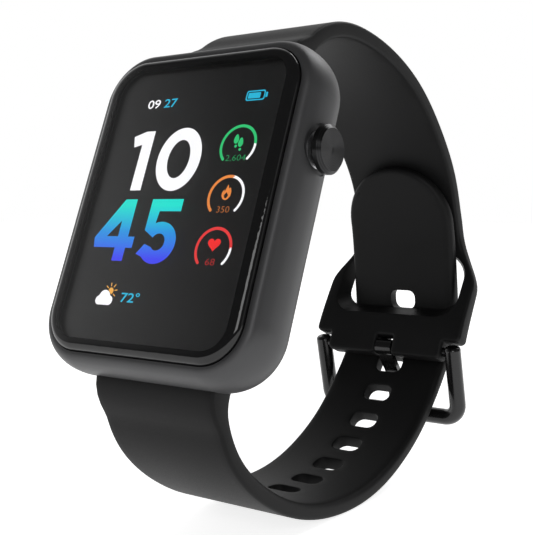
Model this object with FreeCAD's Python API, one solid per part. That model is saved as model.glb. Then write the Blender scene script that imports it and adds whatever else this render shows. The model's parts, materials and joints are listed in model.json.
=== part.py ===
import FreeCAD, Part
import math
import os

# Smartwatch on a closed silicone band, in millimetres.
# Everything is modelled in the watch's own axes: X to the button side, Y from the
# glass towards the wrist, Z towards 12 o'clock, with the glass centre at the origin.
# place() then leans the watch back onto the round bottom of its band.

Vec = FreeCAD.Vector
X_AXIS = Vec(1, 0, 0)
Y_AXIS = Vec(0, 1, 0)

# ---- how the watch stands ----
LEAN_DEG = 21.4
CENTRE_X = 0.775
CENTRE_Y = 29.185
FLOOR_DEPTH = 44.6

# ---- case ----
CASE_W = 35.2
CASE_H = 44.3
CASE_CORNER = 7.4
RIM_Y = 0.95
EQUATOR_Y = 5.0
BACK_Y = 9.5
RIM_INSET = 1.65
BACK_INSET = 2.9
SECTIONS_PER_HALF = 5

# ---- glass and display stack ----
GLASS_W = 31.0
GLASS_H = 40.1
GLASS_CORNER = 5.3
GLASS_BACK_Y = 1.5
GLASS_GAP = 0.12
LEDGE_Y = 1.75
DISPLAY_W = 28.2
DISPLAY_H = 37.4
DISPLAY_Y = (1.8, 3.2)
TOUCH_Y = (1.53, 1.765)
CHASSIS_Y = (3.3, 4.3)
BOARD_Y = (5.2, 6.0)
BATTERY_Y = (4.6, 7.1)
BATTERY_Z = -7.2
FRONT_CAVITY_Y = 4.45
CAVITY_W = 28.4
CAVITY_H = 35.2
CAVITY_CORNER = 4.5

# ---- back ----
COVER_W = 26.4
COVER_H = 34.6
COVER_CORNER = 5.0
COVER_Y = 8.1
COVER_GAP = 0.1
SENSOR_R = 7.5
SENSOR_TOP_Y = 10.7
SCREW_X = 10.9
SCREW_Z = 14.0
SCREW_R = 0.6
SCREW_HEAD_R = 1.15
BOSS_R = 1.5
PIN_SPACING = 3.0
CHARGE_Z = -12.4
MAGNET_X = 6.0

# ---- side button ----
BUTTON_Y = 5.3
BUTTON_Z = 8.15
BUTTON_R = 3.0
BUTTON_BACK_X = 17.75
BUTTON_TOP_X = 19.15
BUTTON_SEAT_X = 17.0
STEM_R = 0.9
STEM_END_X = 13.6
RUN_GAP = 0.05

# ---- spring bars and the recesses they sit in ----
BAR_Y = 7.4
BAR_Z = 20.55
BAR_TUBE_R = 0.75
BAR_BORE_R = 0.45
BAR_TIP_R = 0.42
BAR_HALF = 9.65
TIP_END_X = 11.3
KNOB_X = 7.7
KNOB_TRAVEL = 1.3
RECESS_HALF_W = 10.3
RECESS_FRONT_Y = 5.05
RECESS_Z = 18.3

# ---- band ----
STRAP_W = 19.5
STRAP_T = 2.2
STRAP_CASE_T = 4.0
THICK_FROM = 1.0
THICK_TO = 5.5
TAIL_T = 1.6
TAIL_TAPER = 22.0
INNER_ROUND = 0.95
OUTER_ROUND = 0.55
# wrist-side face of each half, as (y, z) from the spring bar outwards
UPPER_FACE = [(9.4, 20.55), (9.35, 22.1), (9.8, 23.8), (11.4, 26.4), (15.0, 29.6),
              (21.9, 32.3), (29.0, 33.3), (39.4, 32.4), (47.3, 29.4), (55.2, 24.2),
              (58.7, 20.2), (61.2, 16.8), (61.9, 14.0), (61.3, 10.0), (60.2, 5.0),
              (59.4, 0.0), (59.3, -4.3)]
LOWER_FACE = [(9.4, -20.55), (9.3, -22.0), (9.6, -23.6), (10.9, -25.6), (13.4, -27.9),
              (17.0, -29.8), (23.0, -31.4), (31.0, -31.75), (38.5, -30.3), (44.6, -27.9),
              (50.0, -24.5), (54.6, -20.2), (58.2, -15.5), (60.8, -10.5), (62.9, -5.2),
              (64.1, -0.5), (64.3, 3.4), (62.6, 7.6), (59.6, 13.2), (57.2, 17.3),
              (54.0, 21.5), (50.3, 25.6)]
HOLE_W = 4.7
HOLE_L = 3.2
HOLE_ROUND = 1.2
HOLE_PITCH = 6.0
HOLES_BELOW = 6
HOLES_ABOVE = 2

# ---- window block at the end of the upper strap ----
BLOCK_T = 3.0
BLOCK_TOP_Z = 18.0
BLOCK_FULL_Z = 8.4
BLOCK_HALF_W = 13.8
TAB_HALF_W = 10.75
NOTCH_Z = -1.2
TONGUE_SLOT_HALF = 1.6
TONGUE_SLOT_TOP_Z = -1.0
WINDOW_TOP_Z = 15.0
# the window narrows outwards: (depth, half-width, lower edge, corner radius)
WINDOW_ENDS = [(58.6, 12.3, 2.0, 4.2), (66.0, 9.9, 7.5, 2.2)]

# ---- buckle ----
PIN_Y = 60.6
PIN_Z = -2.9
PIN_R = 0.75
WIRE_R = 1.35
FRAME_HALF_W = 12.45
FRAME_REACH = 11.6
FRAME_CORNER = 2.6
FRAME_TOP = 1.1
FRAME_TOP_ROUND = 0.6
PIN_END_WALL = 0.8
FRAME_LEAN_DEG = 34.8
TONGUE_HALF_W = 1.3
TONGUE_T = 0.9
BARREL_HALF_W = 1.45
BARREL_R = 1.3
TONGUE_HOLE_AT = (62.9, -5.2)


def place(shape):
    """Lean the watch back and stand it on the floor, centred on the origin."""
    placed = shape.copy()
    placed.rotate(Vec(0, 0, 0), X_AXIS, -LEAN_DEG)
    placed.translate(Vec(-CENTRE_X, -CENTRE_Y, FLOOR_DEPTH))
    return placed


def save(node, shape):
    if not shape.isValid():
        print("INVALID", node)
    place(shape).exportStep("parts/" + node + ".step")


def box(x, y, z):
    """A box from (low, high) pairs."""
    return Part.makeBox(x[1] - x[0], y[1] - y[0], z[1] - z[0], Vec(x[0], y[0], z[0]))


def rod(radius, start, end):
    """A cylinder between two points."""
    a = Vec(*start)
    b = Vec(*end)
    return Part.makeCylinder(radius, (b - a).Length, a, b - a)


def rounded_wire(half_w, half_h, corner, y, centre=(0.0, 0.0)):
    """Rounded rectangle at depth y, as a closed wire of four lines and four arcs."""
    cx, cz = centre
    edges = []
    corners = [(1, 1), (-1, 1), (-1, -1), (1, -1)]
    arcs = []
    for index, (sx, sz) in enumerate(corners):
        middle = Vec(cx + sx * (half_w - corner), y, cz + sz * (half_h - corner))
        angles = [math.radians(90 * index + step) for step in (0, 45, 90)]
        points = [middle + Vec(corner * math.cos(a), 0, corner * math.sin(a)) for a in angles]
        arcs.append(points)
    for index, points in enumerate(arcs):
        following = arcs[(index + 1) % 4]
        edges.append(Part.Arc(points[0], points[1], points[2]).toShape())
        edges.append(Part.makeLine(points[2], following[0]))
    return Part.Wire(edges)


def slab(width, height, corner, y, centre=(0.0, 0.0)):
    """Rounded rectangular plate between two depths."""
    wire = rounded_wire(width / 2, height / 2, corner, y[0], centre)
    return Part.Face(wire).extrude(Vec(0, y[1] - y[0], 0))


def quarter_inset(amount, share):
    """Inset of an elliptic edge: all of it at share 0, none at share 1."""
    return amount * (1 - math.sqrt(max(0.0, 1 - (1 - share) ** 2)))


# ---------------------------------------------------------------- case

def case_outside():
    """Bulged body lofted through rounded rectangles."""
    stations = []
    for step in range(SECTIONS_PER_HALF):
        share = step / SECTIONS_PER_HALF
        stations.append((RIM_Y + (EQUATOR_Y - RIM_Y) * share, quarter_inset(RIM_INSET, share)))
    stations.append((EQUATOR_Y, 0.0))
    for step in range(SECTIONS_PER_HALF - 1, -1, -1):
        share = step / SECTIONS_PER_HALF
        stations.append((BACK_Y + (EQUATOR_Y - BACK_Y) * share, quarter_inset(BACK_INSET, share)))
    wires = []
    for y, inset in stations:
        wires.append(rounded_wire(CASE_W / 2 - inset, CASE_H / 2 - inset, CASE_CORNER - inset, y))
    return Part.makeLoft(wires, True, False)


def case_housing():
    body = case_outside()
    grow = 2 * GLASS_GAP
    glass_seat = slab(GLASS_W + grow, GLASS_H + grow, GLASS_CORNER + GLASS_GAP, (0, LEDGE_Y))
    front = slab(DISPLAY_W + 0.6, DISPLAY_H + 0.6, CAVITY_CORNER, (LEDGE_Y - 0.1, FRONT_CAVITY_Y))
    inside = slab(CAVITY_W, CAVITY_H, CAVITY_CORNER, (FRONT_CAVITY_Y - 0.1, COVER_Y))
    back_w = COVER_W + 2 * COVER_GAP
    back_h = COVER_H + 2 * COVER_GAP
    back = slab(back_w, back_h, COVER_CORNER + COVER_GAP, (COVER_Y - 0.01, BACK_Y + 1))
    body = body.cut(glass_seat).cut(front).cut(inside).cut(back)
    for sx in (1, -1):
        for sz in (1, -1):
            post = rod(BOSS_R, (sx * SCREW_X, FRONT_CAVITY_Y, sz * SCREW_Z),
                       (sx * SCREW_X, COVER_Y - 0.2, sz * SCREW_Z))
            web = box(sorted((sx * SCREW_X, sx * (CAVITY_W / 2 + 0.5))),
                      (FRONT_CAVITY_Y, COVER_Y - 0.2),
                      sorted((sz * SCREW_Z, sz * (SCREW_Z + BOSS_R))))
            hole = rod(SCREW_R + 0.02, (sx * SCREW_X, FRONT_CAVITY_Y + 0.6, sz * SCREW_Z),
                       (sx * SCREW_X, COVER_Y, sz * SCREW_Z))
            body = body.fuse(post).fuse(web).cut(hole)
    for sz in (1, -1):
        recess = box((-RECESS_HALF_W, RECESS_HALF_W), (RECESS_FRONT_Y, BACK_Y + 1),
                     sorted((sz * RECESS_Z, sz * CASE_H)))
        body = body.cut(recess)
        for sx in (1, -1):
            hole = rod(BAR_TIP_R + RUN_GAP, (sx * (RECESS_HALF_W - 0.5), BAR_Y, sz * BAR_Z),
                       (sx * (TIP_END_X + 0.3), BAR_Y, sz * BAR_Z))
            body = body.cut(hole)
    seat = rod(BUTTON_R + 0.15, (BUTTON_SEAT_X, BUTTON_Y, BUTTON_Z), (19, BUTTON_Y, BUTTON_Z))
    bore = rod(1.5, (CAVITY_W / 2 - 1, BUTTON_Y, BUTTON_Z), (BUTTON_SEAT_X, BUTTON_Y, BUTTON_Z))
    return body.cut(seat).cut(bore)


def cover_glass():
    """Flat front with softly curved edges."""
    profile = [(GLASS_BACK_Y, 0.0), (RIM_Y, 0.0), (0.5, 0.14), (0.18, 0.55), (0.03, 1.2), (0.0, 1.9)]
    wires = []
    for y, inset in profile:
        corner = max(GLASS_CORNER - inset, 2.0)
        wires.append(rounded_wire(GLASS_W / 2 - inset, GLASS_H / 2 - inset, corner, y))
    edge = Part.makeLoft(wires[:2], True, True)
    crown = Part.makeLoft(wires[1:], True, False)
    return edge.fuse(crown).removeSplitter()


def ring_slab(width, height, corner, wall, y):
    outer = slab(width, height, corner, y)
    inner = slab(width - 2 * wall, height - 2 * wall, corner - wall, (y[0] - 1, y[1] + 1))
    return outer.cut(inner)


def display_stack():
    save("glass_gasket", ring_slab(GLASS_W - 0.2, GLASS_H - 0.2, GLASS_CORNER, 0.9,
                                   (GLASS_BACK_Y, LEDGE_Y)))
    save("touch_sensor", slab(DISPLAY_W, DISPLAY_H, 3.6, TOUCH_Y))
    save("display_panel", slab(DISPLAY_W, DISPLAY_H, 3.6, DISPLAY_Y))
    leg = box((-3, 3), (DISPLAY_Y[1], BOARD_Y[0]), (17.05, 17.25))
    foot = box((-3, 3), (BOARD_Y[0] - 0.15, BOARD_Y[0]), (15.4, 17.25))
    save("display_flex", leg.fuse(foot).removeSplitter())


def inner_chassis():
    plate = slab(DISPLAY_W - 0.4, DISPLAY_H - 0.6, 3.5, CHASSIS_Y)
    plate = plate.cut(slab(15, 6, 1.2, (3, 5), (0, 10.5)))
    plate = plate.cut(box((-3.4, 3.4), (3, 5), (16.8, 19)))
    plate = plate.cut(box((12.6, 15), (3, 5), (BUTTON_Z - 2, BUTTON_Z + 2)))
    for x, z in ((-9.5, 5.4), (9.5, 5.4), (-6.5, 15.6), (6.5, 15.6)):
        plate = plate.fuse(rod(1.0, (x, CHASSIS_Y[1] - 0.2, z), (x, BOARD_Y[0], z)))
    return plate


def electronics():
    wide_board = box((-11.6, 11.6), BOARD_Y, (3.6, 12.3))
    board_top = box((-8.8, 8.8), BOARD_Y, (12.2, 16.9))
    save("main_board", wide_board.fuse(board_top).removeSplitter())
    top = BOARD_Y[1]
    save("processor_chip", box((0.6, 7.4), (top, top + 0.8), (6.6, 13.4)))
    save("memory_chip", box((8.2, 11.2), (top, top + 0.7), (8.0, 12.0)))
    save("radio_chip", box((8.0, 11.0), (top, top + 0.7), (4.2, 7.2)))
    save("motion_sensor", box((-1.8, 0.0), (top, top + 0.6), (13.9, 15.9)))
    save("battery", slab(18.4, 18.8, 1.4, BATTERY_Y, (0, BATTERY_Z)))
    save("battery_tape", slab(16.0, 15.8, 1.0, (CHASSIS_Y[1], BATTERY_Y[0]), (0, BATTERY_Z)))
    save("vibration_motor", rod(3.7, (-7.3, top, 10.1), (-7.3, top + 1.7, 10.1)))
    switch = box((11.6, 12.7), (4.5, 6.7), (6.6, 9.7))
    plunger = rod(0.8, (12.7, BUTTON_Y, BUTTON_Z), (13.05, BUTTON_Y, BUTTON_Z))
    save("side_switch", switch.fuse(plunger))


def cross_head(x, z, y_top):
    """Screw head with a cross slot, and its shank."""
    head = rod(SCREW_HEAD_R, (x, y_top - 0.55, z), (x, y_top, z))
    shank = rod(SCREW_R, (x, y_top - 4.0, z), (x, y_top - 0.5, z))
    slot_a = box((x - 0.75, x + 0.75), (y_top - 0.3, y_top + 1), (z - 0.14, z + 0.14))
    slot_b = box((x - 0.14, x + 0.14), (y_top - 0.3, y_top + 1), (z - 0.75, z + 0.75))
    return head.fuse(shank).cut(slot_a).cut(slot_b)


def back_side():
    cover = slab(COVER_W, COVER_H, COVER_CORNER, (COVER_Y, BACK_Y))
    cover = cover.cut(rod(SENSOR_R + 0.1, (0, 8, 0), (0, 10, 0)))
    cover = cover.cut(rod(SENSOR_R - 0.9, (0, 7, 0), (0, 9, 0)))
    for index, (sx, sz) in enumerate(((1, 1), (-1, 1), (-1, -1), (1, -1))):
        x = sx * SCREW_X
        z = sz * SCREW_Z
        cover = cover.cut(rod(SCREW_HEAD_R + 0.1, (x, BACK_Y - 0.65, z), (x, BACK_Y + 1, z)))
        cover = cover.cut(rod(SCREW_R + 0.1, (x, 7, z), (x, BACK_Y, z)))
        save("case_screw_%d" % (index + 1), cross_head(x, z, BACK_Y - 0.1))
    for index, sx in enumerate((-1, 1)):
        pin_x = sx * PIN_SPACING / 2
        magnet_x = sx * MAGNET_X
        cover = cover.cut(rod(0.85, (pin_x, 7, CHARGE_Z), (pin_x, 10, CHARGE_Z)))
        cover = cover.cut(rod(1.65, (magnet_x, 8, CHARGE_Z), (magnet_x, 8.9, CHARGE_Z)))
        save("charge_pin_%d" % (index + 1), rod(0.8, (pin_x, 7.4, CHARGE_Z), (pin_x, 9.45, CHARGE_Z)))
        save("charge_magnet_%d" % (index + 1),
             rod(1.6, (magnet_x, 7.3, CHARGE_Z), (magnet_x, 8.85, CHARGE_Z)))
    save("back_cover", cover)
    save("back_gasket", ring_slab(COVER_W - 0.4, COVER_H - 0.4, COVER_CORNER, 0.6, (COVER_Y - 0.2, COVER_Y)))
    disc = rod(SENSOR_R, (0, 9.0, 0), (0, BACK_Y, 0))
    rise = SENSOR_TOP_Y - BACK_Y
    dome_r = (SENSOR_R ** 2 + rise ** 2) / (2 * rise)
    ball = Part.makeSphere(dome_r, Vec(0, SENSOR_TOP_Y - dome_r, 0))
    dome = ball.common(rod(SENSOR_R, (0, BACK_Y, 0), (0, SENSOR_TOP_Y + 1, 0)))
    save("sensor_window", disc.fuse(dome).removeSplitter())
    save("sensor_board", rod(6.4, (0, 7.3, 0), (0, 7.8, 0)))
    save("green_led_1", box((-4.2, -2.6), (7.8, 8.5), (-0.8, 0.8)))
    save("green_led_2", box((2.6, 4.2), (7.8, 8.5), (-0.8, 0.8)))
    save("photodiode", box((-1.3, 1.3), (7.8, 8.3), (-1.3, 1.3)))


# ---------------------------------------------------------------- side button

def turned(profile):
    """Solid of revolution about the button axis from (x, radius) pairs."""
    points = [Vec(x, BUTTON_Y, BUTTON_Z + radius) for x, radius in profile]
    points.append(points[0])
    face = Part.Face(Part.makePolygon(points))
    return face.revolve(Vec(0, BUTTON_Y, BUTTON_Z), X_AXIS, 360)


def coil(radius, wire_r, x_from, x_to, turns, centre):
    """Helical spring along X."""
    length = x_to - x_from - 2 * wire_r
    helix = Part.makeHelix(length / turns, length, radius)
    start = helix.Vertexes[0].Point
    profile = Part.Wire(Part.makeCircle(wire_r, start, Y_AXIS))
    spring = Part.Wire(helix).makePipeShell([profile], True, True)
    spring.rotate(Vec(0, 0, 0), Y_AXIS, 90)
    spring.translate(Vec(x_from + wire_r, centre[0], centre[1]))
    return spring


def side_button():
    top = BUTTON_TOP_X
    back = BUTTON_BACK_X
    cap = turned([(back, 0), (back, 1.9), (back + 0.25, 1.9), (back + 0.25, BUTTON_R - 0.12),
                  (back + 0.4, BUTTON_R), (top - 0.45, BUTTON_R), (top, BUTTON_R - 0.45),
                  (top - 0.16, 0)])
    save("button_cap", cap)
    stem = turned([(STEM_END_X, 0), (STEM_END_X, 0.6), (13.9, 0.6), (13.9, 0.65), (14.1, 0.65),
                   (14.1, STEM_R), (15.4, STEM_R), (15.4, 0.6), (15.9, 0.6), (15.9, STEM_R),
                   (back, STEM_R), (back, 0)])
    save("button_stem", stem)
    ring = Part.makeTorus(0.77, 0.16, Vec(15.65, BUTTON_Y, BUTTON_Z), X_AXIS)
    save("button_oring", ring)
    clip = turned([(13.92, 0.67), (13.92, 1.5), (14.08, 1.5), (14.08, 0.67)])
    clip = clip.cut(box((13, 15), (BUTTON_Y - 0.4, BUTTON_Y + 0.4), (BUTTON_Z - 3, BUTTON_Z)))
    save("button_clip", clip)
    inner_x = CAVITY_W / 2
    bush = turned([(inner_x, STEM_R + RUN_GAP), (inner_x, 1.48), (BUTTON_SEAT_X, 1.48),
                   (BUTTON_SEAT_X, STEM_R + RUN_GAP)])
    save("button_bush", bush)
    dished = turned([(BUTTON_SEAT_X, 2.3), (BUTTON_SEAT_X, 2.18), (back - 0.1, 1.2), (back, 1.2),
                     (back, 1.32), (BUTTON_SEAT_X + 0.1, 2.3)])
    save("button_spring", dished)


# ---------------------------------------------------------------- band

def face_curve(points):
    curve = Part.BSplineCurve()
    curve.interpolate([Vec(0, y, z) for y, z in points])
    return curve


def smooth_step(share):
    share = min(max(share, 0.0), 1.0)
    return 0.5 - 0.5 * math.cos(math.pi * share)


def strap_thickness(at, length, end_t):
    """Thick by the spring bar, then even, then changing to end_t near the far end."""
    case_part = (STRAP_CASE_T - STRAP_T) * (1 - smooth_step((at - THICK_FROM) / (THICK_TO - THICK_FROM)))
    end_part = (end_t - STRAP_T) * smooth_step(1 - (length - at) / TAIL_TAPER)
    return STRAP_T + case_part + end_part


def strap_frame(curve, at, side):
    """Point, direction of travel and outward normal at a distance along the wrist face."""
    parameter = curve.parameterAtDistance(at)
    tangent = curve.tangent(parameter)[0]
    outward = Vec(0, tangent.z, -tangent.y) * side
    return curve.value(parameter), tangent, outward


def strap_section(point, outward, half_w, thickness):
    """Cross-section with its two wrist-side corners rounder than its outer ones."""
    corners = [(1, 0.0, INNER_ROUND), (1, thickness, OUTER_ROUND),
               (-1, thickness, OUTER_ROUND), (-1, 0.0, INNER_ROUND)]
    diagonal = 1 - math.sqrt(0.5)
    arcs = []
    for sx, height, radius in corners:
        inward = 1 if height == 0.0 else -1
        corner = point + X_AXIS * (sx * half_w) + outward * height
        along_x = X_AXIS * (-sx * radius)
        along_y = outward * (inward * radius)
        middle = corner + (along_x + along_y) * diagonal
        ends = [corner + along_x, middle, corner + along_y]
        if sx * inward < 0:
            ends.reverse()
        arcs.append(ends)
    edges = []
    for index, ends in enumerate(arcs):
        following = arcs[(index + 1) % 4]
        edges.append(Part.Arc(ends[0], ends[1], ends[2]).toShape())
        edges.append(Part.makeLine(ends[2], following[0]))
    return Part.Wire(edges)


def strap_body(points, side, end_t, half_width, stations):
    """Strap lofted through its cross-sections, with a round end on the spring bar."""
    inner = face_curve(points)
    length = inner.length()
    wires = []
    for index in range(stations + 1):
        at = length * index / stations
        point, tangent, outward = strap_frame(inner, at, side)
        thickness = strap_thickness(at, length, end_t)
        wires.append(strap_section(point, outward, half_width(point.z), thickness))
    body = Part.makeLoft(wires, True, True)
    start = inner.value(inner.FirstParameter)
    half = half_width(start.z)
    barrel = rod(STRAP_CASE_T / 2, (-half, BAR_Y, start.z), (half, BAR_Y, start.z))
    return inner, body.fuse(barrel.makeChamfer(0.5, [barrel.Edges[0], barrel.Edges[2]]))


def spring_bar_bore(sign):
    """Bore for the bar, and the slot that its knob slides in."""
    z = sign * BAR_Z
    bore = rod(BAR_TUBE_R + RUN_GAP, (-20, BAR_Y, z), (20, BAR_Y, z))
    slot = box((KNOB_X - KNOB_TRAVEL - 0.8, KNOB_X + 0.8), (BAR_Y, BAR_Y + 4), (z - 0.7, z + 0.7))
    return bore.fuse(slot)


def rounded_hole(curve, at):
    """Prism through the strap with its long side across the band."""
    point, tangent, outward = strap_frame(curve, at, 1)
    wire = rounded_wire(HOLE_W / 2, HOLE_L / 2, HOLE_ROUND, 0)
    prism = Part.Face(wire).extrude(Vec(0, 12, 0))
    prism.translate(Vec(0, -6, 0))
    turn = FreeCAD.Rotation(X_AXIS, math.degrees(math.atan2(tangent.z, tangent.y)) - 90)
    prism.Placement = FreeCAD.Placement(point, turn).multiply(prism.Placement)
    return prism


def lower_strap():
    half = STRAP_W / 2
    inner, solid = strap_body(LOWER_FACE, 1, TAIL_T, lambda z: half, 68)
    point, tangent, outward = strap_frame(inner, inner.length() - half, 1)
    cylinder = Part.makeCylinder(half, 16, point - outward * 8, outward)
    block = Part.makeBox(40, 30, 16, Vec(-20, 0, -8))
    angle = math.degrees(math.atan2(tangent.z, tangent.y))
    block.Placement = FreeCAD.Placement(point, FreeCAD.Rotation(X_AXIS, angle))
    solid = solid.cut(block.cut(cylinder))
    solid = solid.cut(spring_bar_bore(-1))
    mark = inner.parameter(Vec(0, TONGUE_HOLE_AT[0], TONGUE_HOLE_AT[1]))
    tongue_at = inner.length(inner.FirstParameter, mark)
    for index in range(-HOLES_BELOW, HOLES_ABOVE + 1):
        solid = solid.cut(rounded_hole(inner, tongue_at + index * HOLE_PITCH))
    return solid


def block_half_width(z):
    """Half-width of the upper strap, flaring to the window block as it comes down."""
    share = (BLOCK_TOP_Z - z) / (BLOCK_TOP_Z - BLOCK_FULL_Z)
    return STRAP_W / 2 + (BLOCK_HALF_W - STRAP_W / 2) * smooth_step(share)


def upper_strap():
    inner, solid = strap_body(UPPER_FACE, -1, BLOCK_T, block_half_width, 64)
    for sx in (1, -1):
        beside_tab = box(sorted((sx * TAB_HALF_W, sx * 20)), (50, 70), (-10, NOTCH_Z))
        solid = solid.cut(beside_tab)
    wires = []
    for y, half_w, low, corner in WINDOW_ENDS:
        half_h = (WINDOW_TOP_Z - low) / 2
        wires.append(rounded_wire(half_w, half_h, corner, y, (0, low + half_h)))
    solid = solid.cut(Part.makeLoft(wires, True, True))
    solid = solid.cut(spring_bar_bore(1))
    solid = solid.cut(rod(PIN_R + RUN_GAP, (-20, PIN_Y, PIN_Z), (20, PIN_Y, PIN_Z)))
    slot = box((-TONGUE_SLOT_HALF, TONGUE_SLOT_HALF), (PIN_Y - 5, PIN_Y + 5), (-8, TONGUE_SLOT_TOP_Z))
    return solid.cut(slot)


def spring_bar(name, sign):
    z = sign * BAR_Z
    tube = rod(BAR_TUBE_R, (-BAR_HALF, BAR_Y, z), (BAR_HALF, BAR_Y, z))
    tube = tube.cut(rod(BAR_BORE_R, (-20, BAR_Y, z), (20, BAR_Y, z)))
    slot = box((KNOB_X - KNOB_TRAVEL - 0.6, KNOB_X + 0.6), (BAR_Y, BAR_Y + 2), (z - 0.42, z + 0.42))
    save(name + "_bar_tube", tube.cut(slot))
    save(name + "_bar_plain_tip", rod(BAR_TIP_R, (-TIP_END_X, BAR_Y, z), (0.0, BAR_Y, z)))
    tip = rod(BAR_TIP_R, (5.2, BAR_Y, z), (TIP_END_X, BAR_Y, z))
    knob = rod(0.38, (KNOB_X, BAR_Y, z), (KNOB_X, BAR_Y + 2.5, z))
    save(name + "_bar_release_tip", tip.fuse(knob))
    save(name + "_bar_spring", coil(0.3, 0.08, 0.0, 5.2, 9, (BAR_Y, z)))


# ---------------------------------------------------------------- buckle

def frame_direction():
    lean = math.radians(FRAME_LEAN_DEG)
    return Vec(0, math.sin(lean), -math.cos(lean))


def buckle_frame():
    """Round wire bent to a U, with a blind hole for the pin near each rounded end."""
    down = frame_direction()
    pivot = Vec(0, PIN_Y, PIN_Z)
    reach = FRAME_REACH
    bend = FRAME_CORNER
    side = X_AXIS * FRAME_HALF_W
    top_right = pivot + side - down * FRAME_TOP
    low_right = pivot + side + down * (reach - bend)
    bar_right = pivot + side - X_AXIS * bend + down * reach
    diagonal = bend * (1 - math.sqrt(0.5))
    mid_right = pivot + side - X_AXIS * diagonal + down * (reach - diagonal)
    mirror = [Vec(-p.x, p.y, p.z) for p in (top_right, low_right, mid_right, bar_right)]
    top_left, low_left, mid_left, bar_left = mirror
    path = Part.Wire([Part.makeLine(top_right, low_right),
                      Part.Arc(low_right, mid_right, bar_right).toShape(),
                      Part.makeLine(bar_right, bar_left),
                      Part.Arc(bar_left, mid_left, low_left).toShape(),
                      Part.makeLine(low_left, top_left)])
    section = Part.Wire(Part.makeCircle(WIRE_R, top_right, down))
    wire = path.makePipeShell([section], True, False)
    ends = [e for e in wire.Edges if abs(e.Length - 2 * math.pi * WIRE_R) < 0.01
            and (e.CenterOfMass - pivot).dot(down) < -FRAME_TOP / 2]
    wire = wire.makeFillet(FRAME_TOP_ROUND, ends)
    deep = FRAME_HALF_W + WIRE_R - PIN_END_WALL
    return wire.cut(rod(PIN_R + RUN_GAP, (-deep, PIN_Y, PIN_Z), (deep, PIN_Y, PIN_Z)))


def buckle_tongue():
    """Flat cranked tongue: barrel on the pin, through the strap, over the bar."""
    down = frame_direction()
    over = Vec(0, -down.z, down.y)
    bar = Vec(0, PIN_Y, PIN_Z) + down * FRAME_REACH
    on_bar = bar + over * (WIRE_R + TONGUE_T / 2 + 0.1)
    tip = on_bar + down * 1.4
    route = [Vec(0, PIN_Y + 0.5, PIN_Z - 0.6), Vec(0, 62.4, -4.75), Vec(0, 64.0, -5.6),
             Vec(0, 65.6, -6.9), on_bar - down * 1.5, tip]
    line = Part.BSplineCurve()
    line.interpolate(route)
    above = []
    below = []
    count = 14
    for index in range(count + 1):
        parameter = line.parameterAtDistance(line.length() * index / count)
        tangent = line.tangent(parameter)[0]
        normal = Vec(0, -tangent.z, tangent.y)
        above.append(line.value(parameter) + normal * (TONGUE_T / 2))
        below.append(line.value(parameter) - normal * (TONGUE_T / 2))
    top = Part.BSplineCurve()
    top.interpolate(above)
    bottom = Part.BSplineCurve()
    bottom.interpolate(below)
    edges = [top.toShape(), Part.makeLine(above[-1], below[-1]), bottom.toShape(),
             Part.makeLine(below[0], above[0])]
    face = Part.Face(Part.Wire(Part.__sortEdges__(edges)))
    face.translate(Vec(-TONGUE_HALF_W, 0, 0))
    blade = face.extrude(Vec(2 * TONGUE_HALF_W, 0, 0))
    barrel = rod(BARREL_R, (-BARREL_HALF_W, PIN_Y, PIN_Z), (BARREL_HALF_W, PIN_Y, PIN_Z))
    tongue = blade.fuse(barrel)
    return tongue.cut(rod(PIN_R + RUN_GAP, (-20, PIN_Y, PIN_Z), (20, PIN_Y, PIN_Z)))


def main():
    os.makedirs("parts", exist_ok=True)
    save("case_housing", case_housing())
    save("cover_glass", cover_glass())
    display_stack()
    save("inner_chassis", inner_chassis())
    electronics()
    back_side()
    side_button()
    save("upper_strap", upper_strap())
    save("lower_strap", lower_strap())
    spring_bar("upper", 1)
    spring_bar("lower", -1)
    pin_half = FRAME_HALF_W + WIRE_R - PIN_END_WALL - 0.1
    save("buckle_pin", rod(PIN_R, (-pin_half, PIN_Y, PIN_Z), (pin_half, PIN_Y, PIN_Z)))
    save("buckle_frame", buckle_frame())
    save("buckle_tongue", buckle_tongue())


main()
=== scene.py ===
import json
import math

import bmesh
import bpy
import numpy as np
from mathutils import Matrix, Vector
from mathutils.geometry import delaunay_2d_cdt, tessellate_polygon


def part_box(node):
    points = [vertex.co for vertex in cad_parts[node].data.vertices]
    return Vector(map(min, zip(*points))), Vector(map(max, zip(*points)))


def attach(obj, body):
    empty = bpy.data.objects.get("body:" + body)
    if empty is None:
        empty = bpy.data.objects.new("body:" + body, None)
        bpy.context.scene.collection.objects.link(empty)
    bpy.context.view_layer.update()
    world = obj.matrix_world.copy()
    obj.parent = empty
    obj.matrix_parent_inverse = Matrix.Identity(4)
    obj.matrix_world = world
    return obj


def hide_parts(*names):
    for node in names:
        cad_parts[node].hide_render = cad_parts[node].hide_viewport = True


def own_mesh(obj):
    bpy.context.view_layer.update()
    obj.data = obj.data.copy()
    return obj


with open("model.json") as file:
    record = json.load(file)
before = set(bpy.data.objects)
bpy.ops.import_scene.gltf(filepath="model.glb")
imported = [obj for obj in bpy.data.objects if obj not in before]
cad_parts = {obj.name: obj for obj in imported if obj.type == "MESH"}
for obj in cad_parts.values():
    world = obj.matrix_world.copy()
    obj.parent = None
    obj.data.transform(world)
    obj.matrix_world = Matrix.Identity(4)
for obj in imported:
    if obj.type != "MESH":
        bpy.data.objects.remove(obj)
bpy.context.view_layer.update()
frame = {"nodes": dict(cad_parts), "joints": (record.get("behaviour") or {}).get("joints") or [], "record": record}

MM = 0.001

# ---------------------------------------------------------------- the watch's own axes
# x to the button, y from the glass towards the wrist, z to 12 o'clock, all in millimetres

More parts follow.
